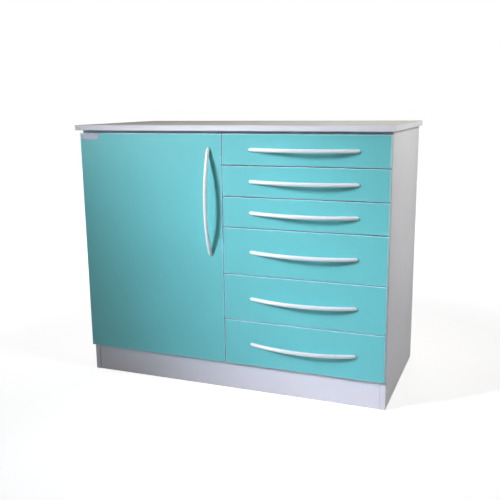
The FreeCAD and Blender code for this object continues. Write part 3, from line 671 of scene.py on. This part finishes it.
def bow_tree(name):
    """A bow handle along X, with its feet on the plane Y = 0 and its bow towards -Y."""
    tree = Tree(name)
    spacing, reach, rise, width = tree.lengths("Screw spacing", "Reach", "Rise", "Width")
    thickness, taper, tip, foot = tree.lengths("Thickness", "Taper", "Tip", "Foot")
    material = tree.input("Material", "Material")

    # An arc through both ends and the top of the bow, with its points closer together towards the ends
    half = tree.math("ADD", tree.math("MULTIPLY", spacing, 0.5), reach)
    start = tree.vector(x=tree.math("MULTIPLY", half, -1.0))
    middle = tree.vector(y=tree.math("MULTIPLY", rise, -1.0))
    even = tree.node("GeometryNodeCurveArc", {"mode": "POINTS"}, Resolution=BOW_POINTS,
                     Start=start, Middle=middle, End=tree.vector(x=half)).outputs[0]
    parameter = tree.node("GeometryNodeSplineParameter")
    wave = tree.math("COSINE", tree.math("MULTIPLY", parameter.outputs["Factor"], math.pi))
    closer = tree.math("MULTIPLY", tree.math("SUBTRACT", 1.0, wave), 0.5)
    sample = tree.node("GeometryNodeSampleCurve", {"mode": "FACTOR"}, Curves=even, Factor=closer)
    arc = tree.node("GeometryNodeSetPosition", Geometry=even, Position=sample.outputs["Position"])

    # The bar narrows over its taper, and its tips are rounded
    along = parameter.outputs["Length"]
    whole = tree.node("GeometryNodeSplineLength").outputs["Length"]
    to_end = tree.math("MINIMUM", along, tree.math("SUBTRACT", whole, along))
    narrowing = tree.node("ShaderNodeMapRange", {"interpolation_type": "SMOOTHSTEP"}, Value=to_end,
                          From_Max=taper, To_Min=BAR_END_SHARE, To_Max=1.0).outputs["Result"]
    short = tree.math("SUBTRACT", 1.0, tree.math("MINIMUM", tree.math("DIVIDE", to_end, tip), 1.0))
    rounding = tree.math("SQRT", tree.math("SUBTRACT", 1.0, tree.math("MULTIPLY", short, short)))
    swell = tree.math("MAXIMUM", tree.math("MULTIPLY", narrowing, rounding), LEAST_BAR_SHARE)

    ring = tree.node("GeometryNodeCurvePrimitiveCircle", {"mode": "RADIUS"}, Resolution=BAR_SIDES,
                     Radius=0.5)
    oval = tree.node("GeometryNodeTransform", Geometry=ring.outputs[0],
                     Scale=tree.vector(thickness, width, 1.0))
    bar = tree.node("GeometryNodeCurveToMesh", Curve=arc.outputs[0], Profile_Curve=oval.outputs[0],
                    Scale=swell, Fill_Caps=True)

    feet = []
    for side in (-0.5, 0.5):
        post = tree.node("GeometryNodeMeshCylinder", Vertices=BAR_SIDES,
                         Radius=tree.math("MULTIPLY", foot, 0.5),
                         Depth=tree.math("MULTIPLY", thickness, FOOT_HEIGHT_SHARE))
        centre = tree.vector(x=tree.math("MULTIPLY", spacing, side),
                             y=tree.math("MULTIPLY", thickness, -0.5 * FOOT_HEIGHT_SHARE))
        turned = tree.node("GeometryNodeTransform", Geometry=post.outputs["Mesh"], Translation=centre,
                           Rotation=(math.pi / 2, 0, 0))
        feet.append(turned.outputs[0])

    # What would reach behind the feet's plane is drawn onto it
    joined = tree.join(bar.outputs[0], *feet)
    spot = tree.node("GeometryNodeInputPosition").outputs[0]
    split = tree.node("ShaderNodeSeparateXYZ", Vector=spot)
    front = tree.math("MINIMUM", split.outputs["Y"], 0.0)
    flat = tree.vector(split.outputs["X"], front, split.outputs["Z"])
    stood = tree.node("GeometryNodeSetPosition", Geometry=joined, Position=flat)
    smooth = tree.node("GeometryNodeSetShadeSmooth", Geometry=stood.outputs[0])
    return tree.finish(smooth.outputs[0], material)


# A screw head's sides, and its top and the slots of its cross as shares of its diameter and height
HEAD_SIDES = 24
HEAD_TOP_SHARE = 0.72
SLOT_LENGTH_SHARE = 0.55
SLOT_WIDTH_SHARE = 0.13
SLOT_RISE_SHARE = 0.8


def screw_tree(name):
    """Pan heads with a cross slot, one on each vertex of the base, all turned one way."""
    tree = Tree(name)
    base = tree.input("Spots", "Geometry")
    diameter, height = tree.lengths("Diameter", "Height")
    turn = tree.input("Turn", "Vector")
    material = tree.input("Material", "Material")
    radius = tree.math("MULTIPLY", diameter, 0.5)
    rim = tree.node("GeometryNodeMeshCone", Vertices=HEAD_SIDES, Radius_Bottom=radius,
                    Radius_Top=tree.math("MULTIPLY", radius, HEAD_TOP_SHARE), Depth=height)
    head = tree.node("GeometryNodeMeshBoolean", {"operation": "DIFFERENCE", "solver": "EXACT"})
    tree.group.links.new(rim.outputs["Mesh"], head.inputs["Mesh 1"])
    long = tree.math("MULTIPLY", diameter, SLOT_LENGTH_SHARE)
    narrow = tree.math("MULTIPLY", diameter, SLOT_WIDTH_SHARE)
    raised = tree.vector(z=tree.math("MULTIPLY", height, SLOT_RISE_SHARE))
    for wide, deep in ((long, narrow), (narrow, long)):
        bar = tree.node("GeometryNodeMeshCube", Size=tree.vector(wide, deep, height))
        slot = tree.node("GeometryNodeTransform", Geometry=bar.outputs["Mesh"], Translation=raised)
        tree.group.links.new(slot.outputs[0], head.inputs["Mesh 2"])
    return tree.finish(tree.on_spots(base, head.outputs["Mesh"], turn), material)


BUMPER_SIDES = 24
BUMPER_RINGS = 12


def bumper_tree(name):
    """Flat-footed domes, one on each vertex of the base, all turned one way."""
    tree = Tree(name)
    base = tree.input("Spots", "Geometry")
    diameter, height = tree.lengths("Diameter", "Height")
    turn = tree.input("Turn", "Vector")
    material = tree.input("Material", "Material")
    ball = tree.node("GeometryNodeMeshUVSphere", Segments=BUMPER_SIDES, Rings=BUMPER_RINGS, Radius=0.5)
    spot = tree.node("GeometryNodeInputPosition").outputs[0]
    split = tree.node("ShaderNodeSeparateXYZ", Vector=spot)
    above = tree.math("MAXIMUM", split.outputs["Z"], 0.0)
    dome = tree.node("GeometryNodeSetPosition", Geometry=ball.outputs["Mesh"],
                     Position=tree.vector(split.outputs["X"], split.outputs["Y"], above))
    sized = tree.node("GeometryNodeTransform", Geometry=dome.outputs[0],
                      Scale=tree.vector(diameter, diameter, tree.math("MULTIPLY", height, 2.0)))
    smooth = tree.node("GeometryNodeSetShadeSmooth", Geometry=sized.outputs[0])
    return tree.finish(tree.on_spots(base, smooth.outputs[0], turn), material)


def tree_of(maker, name):
    """The tree that a maker above builds, built once."""
    return bpy.data.node_groups.get(name) or maker(name)


def spots_mesh(name, spots):
    mesh = bpy.data.meshes.new(name)
    mesh.from_pydata([tuple(spot) for spot in spots], [], [])
    return mesh


# The turns that make +Z face each way
TURNS = {"-y": (math.pi / 2, 0, 0), "+y": (-math.pi / 2, 0, 0),
         "+x": (0, math.pi / 2, 0), "-x": (0, -math.pi / 2, 0)}
PLATED_SLOTS = {zinc_plating: "zinc_plated_steel", nickel_plating: "nickel_plated_steel"}


def screw_heads(name, node, maker, spots, faces, height=None):
    """Screw heads at a list of spots, that all face one way and belong to a node's body."""
    values = {"Diameter": sizes().screw_head, "Height": height or sizes().screw_height,
              "Turn": TURNS[faces], "Material": material_of(maker)}
    mesh = grow(name, tree_of(screw_tree, "Screw heads"), values, spots_mesh(name, spots))
    piece(name, mesh, (maker,), BODY_OF[node], PLATED_SLOTS[maker])


def bumpers(name, node, spots):
    """Clear bumpers on the inner face of a front."""
    values = {"Diameter": sizes().bumper, "Height": sizes().bumper_height,
              "Turn": TURNS["+y"], "Material": material_of(clear_bumper)}
    mesh = grow(name, tree_of(bumper_tree, "Bumpers"), values, spots_mesh(name, spots))
    piece(name, mesh, (clear_bumper,), BODY_OF[node], "white_melamine")


def shared_middle(front, board_box):
    """The middle, along X, of the strip where a front covers a board's edge."""
    (front_low, front_high), (low, high) = front, board_box
    return (max(front_low.x, low.x) + min(front_high.x, high.x)) / 2


# Operators

# Each board of white melamine, and the sides of it that are edged
BOARDS = {"side_panel_left": "-y", "side_panel_right": "-y", "centre_partition": "-y", "bottom_panel": "-y",
          "top_rail_front": "-y", "top_rail_rear": "", "shelf": "-y"}


class CABINET_OT_dress_carcass(bpy.types.Operator):
    """Gives the carcass boards their rounded edges, film and edging"""
    bl_idname = "cabinet.dress_carcass"
    bl_label = "Dress carcass"

    def execute(self, context):
        for node, banded in BOARDS.items():
            board(node, banded)
        board("plinth_board", "-x +x", joint=sizes().plinth_joint)
        board("worktop", "-x +x -y", film=worktop_laminate)
        repaint("back_panel", lacquered_hardboard)
        return {"FINISHED"}


# The rounding of the blank plate's outer rim, as a share of its thickness
PLATE_RIM_SHARE = 0.4
PLATE_RIM_SEGMENTS = 2


class CABINET_OT_dress_fronts(bpy.types.Operator):
    """Makes the door and the drawer fronts: turquoise boards in pale edging, whose paleness is partly
    painted light, and the blank plate
    """
    bl_idname = "cabinet.dress_fronts"
    bl_label = "Dress fronts"

    def execute(self, context):
        front_board("door_panel")
        for drawer in DRAWERS:
            front_board(f"{drawer}_front")
        low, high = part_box("door_plate")
        shape = bmesh.new()
        rounded_block(shape, low, high, sizes().plate_rounding, side_set("-x +x -z +z"), PLATE_SEGMENTS)
        rim = [edge for edge in shape.edges
               if all(vertex.co.y - low.y < TOUCH for vertex in edge.verts)]
        bevel(shape, rim, PLATE_RIM_SHARE * (high.y - low.y), PLATE_RIM_SEGMENTS)
        piece("blank_plate", to_mesh("blank_plate", shape), (satin_aluminium,), "door", "satin_aluminium",
              "door_plate")
        return {"FINISHED"}


class CABINET_OT_make_handles(bpy.types.Operator):
    """Makes the white bow handles of the door and the drawers"""
    bl_idname = "cabinet.make_handles"
    bl_label = "Make handles"

    def execute(self, context):
        settings = sizes()
        tree = tree_of(bow_tree, "Bow handle")
        reach = settings.handle_width / 2
        for owner in ["door"] + DRAWERS:
            node = f"{owner}_handle"
            low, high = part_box(node)
            upright = high.z - low.z > high.x - low.x
            whole = max(high.x - low.x, high.z - low.z)
            mesh = grow(node, tree, {
                "Screw spacing": whole - 2 * reach, "Reach": reach,
                "Rise": high.y - low.y - settings.handle_thickness / 2,
                "Width": settings.handle_width, "Thickness": settings.handle_thickness,
                "Taper": settings.handle_taper, "Tip": settings.handle_tip, "Foot": settings.handle_foot,
                "Material": material_of(white_lacquer)})
            place = Matrix.Translation(((low.x + high.x) / 2, high.y, (low.z + high.z) / 2))
            if upright:
                place = place @ Matrix.Rotation(-math.pi / 2, 4, "Y")
            mesh.transform(place)
            piece(f"{owner}_bow_handle", mesh, (white_lacquer,), BODY_OF[node],
                  "white_lacquered_metal", node)
        return {"FINISHED"}


class CABINET_OT_dress_drawers(bpy.types.Operator):
    """Gives the drawer boxes their film and edging"""
    bl_idname = "cabinet.dress_drawers"
    bl_label = "Dress drawer boxes"

    def execute(self, context):
        for drawer in DRAWERS:
            drawer_box(f"{drawer}_box")
        return {"FINISHED"}


class CABINET_OT_dress_metal(bpy.types.Operator):
    """Plates the runners, hinges, pins and screws, and gives the dowels their wood"""
    bl_idname = "cabinet.dress_metal"
    bl_label = "Dress metal parts"

    def execute(self, context):
        for node in NODES:
            words = node.split("_")
            if "rails" in words or "screws" in words:
                repaint(node, zinc_plating)
            elif words[0] == "hinge" or node == "shelf_pins":
                repaint(node, nickel_plating)
            elif node == "joint_dowels":
                repaint(node, beech_wood)
        return {"FINISHED"}


class CABINET_OT_add_bumpers(bpy.types.Operator):
    """Sticks clear bumpers behind the door and the drawer fronts"""
    bl_idname = "cabinet.add_bumpers"
    bl_label = "Add bumpers"

    def execute(self, context):
        inset = sizes().bumper_inset
        partition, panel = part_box("centre_partition"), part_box("side_panel_right")
        low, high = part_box("door_panel")
        across = shared_middle((low, high), partition)
        bumpers("door_bumpers", "door_panel",
                [(across, high.y, low.z + inset), (across, high.y, high.z - inset)])
        for drawer in DRAWERS:
            low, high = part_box(f"{drawer}_front")
            middle = (low.z + high.z) / 2
            spots = [(shared_middle((low, high), edge), high.y, middle) for edge in (partition, panel)]
            bumpers(f"{drawer}_bumpers", f"{drawer}_front", spots)
        return {"FINISHED"}


class CABINET_OT_add_screws(bpy.types.Operator):
    """Adds the heads of the screws that hold the hinges and the runners"""
    bl_idname = "cabinet.add_screws"
    bl_label = "Add screws"

    def execute(self, context):
        settings = sizes()
        cups_low, cups_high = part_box("hinge_cups")
        mounts_low, mounts_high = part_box("hinge_mounts")
        arms_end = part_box("hinge_arms")[1].y
        levels = hinge_levels()
        across = (cups_low.x + cups_high.x + settings.cup_wing_width) / 2
        screw_heads("cup_screws", "hinge_cups", nickel_plating,
                    [(across, cups_high.y, level + side * settings.cup_screw_reach)
                     for level in levels for side in (-1, 1)], "+y")
        along = (mounts_low.y + mounts_high.y) / 2
        screw_heads("mount_screws", "hinge_mounts", nickel_plating,
                    [(mounts_high.x, along, level + side * settings.mount_screw_reach)
                     for level in levels for side in (-1, 1)], "+x")
        web = mounts_high.x + settings.arm_web
        insets = settings.arm_screw_inset, settings.arm_web_length - settings.arm_screw_inset
        screw_heads("arm_screws", "hinge_arms", nickel_plating,
                    [(web, arms_end - inset, level) for level in levels for inset in insets], "+x")
        self.fix_runners(settings)
        return {"FINISHED"}

    def fix_runners(self, settings):
        wall, inset = settings.runner_wall, settings.runner_screw_inset
        left_low, left_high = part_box("runner_rails_left")
        right_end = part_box("runner_rails_right")[1].x
        spots = {"left": [], "right": []}
        for drawer in DRAWERS:
            low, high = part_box(f"{drawer}_rails")
            box_low, box_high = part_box(f"{drawer}_box")
            level = (low.z + high.z) / 2
            for side, x, faces in (("left", box_low.x - wall, "-x"), ("right", box_high.x + wall, "+x")):
                screw_heads(f"{drawer}_{side}_rail_screws", f"{drawer}_rails", zinc_plating,
                            [(x, y, level) for y in spread_out(low.y, high.y, inset)], faces)
            for y in spread_out(left_low.y, left_high.y, inset):
                spots["left"].append((left_low.x + wall, y, level))
                spots["right"].append((right_end - wall, y, level))
        for side, faces in (("left", "+x"), ("right", "-x")):
            screw_heads(f"{side}_runner_screws", f"runner_rails_{side}", zinc_plating, spots[side], faces,
                        settings.flat_height)


def hinge_levels():
    """The heights of the hinges, as far from the cups' ends as half a wing."""
    low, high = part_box("hinge_cups")
    wing = sizes().cup_wing
    return low.z + wing / 2, high.z - wing / 2


def spread_out(start, end, inset):
    """Three places along a rail: near each end and in the middle."""
    return start + inset, (start + end) / 2, end - inset


class CABINET_OT_set_stage(bpy.types.Operator):
    """Sets the floor, the lamps, the surroundings and the camera"""
    bl_idname = "cabinet.set_stage"
    bl_label = "Set stage"

    def execute(self, context):
        make_floor()
        make_world()
        make_lamps()
        make_camera()
        context.scene.view_settings.view_transform = "Standard"
        return {"FINISHED"}


# Stage

def shown_rays(nodes, links):
    """One for rays that see the backdrop, straight or through gloss and glass, and nought for light."""
    path = nodes.new("ShaderNodeLightPath")
    total = path.outputs["Is Camera Ray"]
    for name in ("Is Glossy Ray", "Is Transmission Ray"):
        add = nodes.new("ShaderNodeMath")
        add.operation = "MAXIMUM"
        links.new(total, add.inputs[0])
        links.new(path.outputs[name], add.inputs[1])
        total = add.outputs[0]
    return total


# The floor's width, how far from its middle it keeps the shadow, over what length that fades, and its glow
FLOOR_SIZE = 12.0
FLOOR_TILES = 8
FLOOR_SHADOW_REACH = 0.95
FLOOR_FADE = 0.9
FLOOR_GLOW = 0.77


def make_floor():
    """A pale floor that keeps the shadow near the cabinet and turns white further out."""
    shape = bmesh.new()
    bmesh.ops.create_grid(shape, x_segments=FLOOR_TILES, y_segments=FLOOR_TILES, size=FLOOR_SIZE / 2)
    floor = add_object("floor", to_mesh("floor", shape))
    material = bpy.data.materials.new("pale_floor")
    material.use_nodes = True
    nodes, links = material.node_tree.nodes, material.node_tree.links
    nodes.clear()
    paint = nodes.new("ShaderNodeBsdfDiffuse")
    paint.inputs["Color"].default_value = (*colours().floor, 1)
    glow = nodes.new("ShaderNodeEmission")
    place = nodes.new("ShaderNodeTexCoord")
    distance = nodes.new("ShaderNodeVectorMath")
    distance.operation = "LENGTH"
    links.new(place.outputs["Object"], distance.inputs[0])
    fade = nodes.new("ShaderNodeMapRange")
    fade.interpolation_type = "SMOOTHSTEP"
    for name, amount in (("From Min", FLOOR_SHADOW_REACH), ("From Max", FLOOR_SHADOW_REACH + FLOOR_FADE),
                         ("To Min", FLOOR_GLOW), ("To Max", 1.0)):
        fade.inputs[name].default_value = amount
    links.new(distance.outputs["Value"], fade.inputs["Value"])
    strength = nodes.new("ShaderNodeMath")
    strength.operation = "MULTIPLY"
    links.new(fade.outputs["Result"], strength.inputs[0])
    links.new(shown_rays(nodes, links), strength.inputs[1])
    links.new(strength.outputs[0], glow.inputs["Strength"])
    both = nodes.new("ShaderNodeAddShader")
    links.new(paint.outputs[0], both.inputs[0])
    links.new(glow.outputs[0], both.inputs[1])
    output = nodes.new("ShaderNodeOutputMaterial")
    links.new(both.outputs[0], output.inputs["Surface"])
    floor.data.materials.append(material)


# Tints of the light
WARM, CREAM = (1.0, 0.86, 0.78), (1.0, 0.96, 0.88)
COOL, LILAC = (0.93, 0.96, 1.0), (0.95, 0.91, 1.0)


def make_world():
    """White where it is seen, and a soft even light where it lights."""
    world = bpy.data.worlds.new("surroundings")
    bpy.context.scene.world = world
    world.use_nodes = True
    nodes, links = world.node_tree.nodes, world.node_tree.links
    light = nodes["Background"]
    light.inputs["Color"].default_value = (*WARM, 1)
    light.inputs["Strength"].default_value = bpy.context.scene.cabinet_light.world
    seen = nodes.new("ShaderNodeBackground")
    seen.inputs["Color"].default_value = (1, 1, 1, 1)
    seen.inputs["Strength"].default_value = 1
    mix = nodes.new("ShaderNodeMixShader")
    links.new(shown_rays(nodes, links), mix.inputs["Fac"])
    links.new(light.outputs[0], mix.inputs[1])
    links.new(seen.outputs[0], mix.inputs[2])
    links.new(mix.outputs[0], nodes["World Output"].inputs["Surface"])


# Each lamp's place, the point it faces, its width and height, its spread in degrees and its tint
FRONT_LEFT = (-1.65, -2.03, 1.60)
LAMPS = {
    "key": (FRONT_LEFT, (0.27, -0.23, 0.79), (0.45, 0.75), 36, COOL),
    "low": (FRONT_LEFT, (0.45, -0.23, 0.19), (0.45, 0.75), 28, LILAC),
    "high": (FRONT_LEFT, (-0.22, -0.23, 0.95), (0.45, 0.75), 28, COOL),
    "fill": ((-2.65, -3.03, 2.10), (0.15, -0.23, 0.70), (0.45, 0.75), 180, WARM),
    "side": ((1.90, -0.40, 1.75), (0.50, 0.05, 0.85), (0.70, 0.70), 44, CREAM),
    "back": ((-0.30, 2.80, 1.50), (0.00, 0.25, 0.45), (1.00, 1.00), 180, COOL),
    "end": ((-2.80, 0.70, 1.30), (-0.50, 0.10, 0.45), (1.00, 1.00), 180, COOL),
}


def make_lamps():
    for name, (spot, target, (width, height), spread, tint) in LAMPS.items():
        data = bpy.data.lights.new(f"{name}_lamp", "AREA")
        data.shape = "RECTANGLE"
        data.size, data.size_y = width, height
        data.spread = math.radians(spread)
        data.color = tint
        data.energy = getattr(bpy.context.scene.cabinet_light, name)
        lamp = add_object(f"{name}_lamp", data)
        lamp.location = spot
        lamp.rotation_euler = (Vector(target) - Vector(spot)).to_track_quat("-Z", "Y").to_euler()
        lamp.visible_camera = False


# The camera's place in metres, its turns in radians and its lens in millimetres
CAMERA_SPOT = (0.8358, -2.1279, 0.894)
CAMERA_YAW = 0.378
CAMERA_PITCH = 0.208
CAMERA_ROLL = -0.0113
CAMERA_LENS = 49.87
CAMERA_SHIFT = (0.001, -0.0014)


def make_camera():
    """The camera at the photograph's viewing angle: turned to the left, tilted down and hardly rolled."""
    data = bpy.data.cameras.new("camera")
    data.lens = CAMERA_LENS
    data.shift_x, data.shift_y = CAMERA_SHIFT
    camera = add_object("camera", data)
    turn = (Matrix.Rotation(CAMERA_YAW, 4, "Z") @ Matrix.Rotation(math.pi / 2 - CAMERA_PITCH, 4, "X")
            @ Matrix.Rotation(CAMERA_ROLL, 4, "Z"))
    camera.matrix_world = Matrix.Translation(CAMERA_SPOT) @ turn
    bpy.context.scene.camera = camera


# Panel and registration

OPERATORS = (CABINET_OT_dress_carcass, CABINET_OT_dress_fronts, CABINET_OT_make_handles,
             CABINET_OT_dress_drawers, CABINET_OT_dress_metal, CABINET_OT_add_bumpers, CABINET_OT_add_screws,
             CABINET_OT_set_stage)


class CABINET_PT_panel(bpy.types.Panel):
    """Lists the cabinet's settings and its operators"""
    bl_idname = "CABINET_PT_panel"
    bl_label = "Floor cabinet"
    bl_space_type = "VIEW_3D"
    bl_region_type = "UI"
    bl_category = "Cabinet"

    def draw(self, context):
        for setting in SETTINGS:
            group = getattr(context.scene, setting)
            for name in group.__annotations__:
                self.layout.prop(group, name)
        for operator in OPERATORS:
            self.layout.operator(operator.bl_idname)


SETTINGS = {"cabinet_sizes": CabinetSizes, "cabinet_colours": CabinetColours,
            "cabinet_light": CabinetLight}
CLASSES = (*SETTINGS.values(), *OPERATORS, CABINET_PT_panel)


def register():
    for cls in CLASSES:
        bpy.utils.register_class(cls)
    for name, cls in SETTINGS.items():
        setattr(bpy.types.Scene, name, bpy.props.PointerProperty(type=cls))


def unregister():
    for name in SETTINGS:
        delattr(bpy.types.Scene, name)
    for cls in reversed(CLASSES):
        bpy.utils.unregister_class(cls)


def main():
    register()
    bpy.ops.cabinet.dress_carcass()
    bpy.ops.cabinet.dress_fronts()
    bpy.ops.cabinet.make_handles()
    bpy.ops.cabinet.dress_drawers()
    bpy.ops.cabinet.dress_metal()
    bpy.ops.cabinet.add_bumpers()
    bpy.ops.cabinet.add_screws()
    bpy.ops.cabinet.set_stage()


if __name__ == "__main__":
    main()
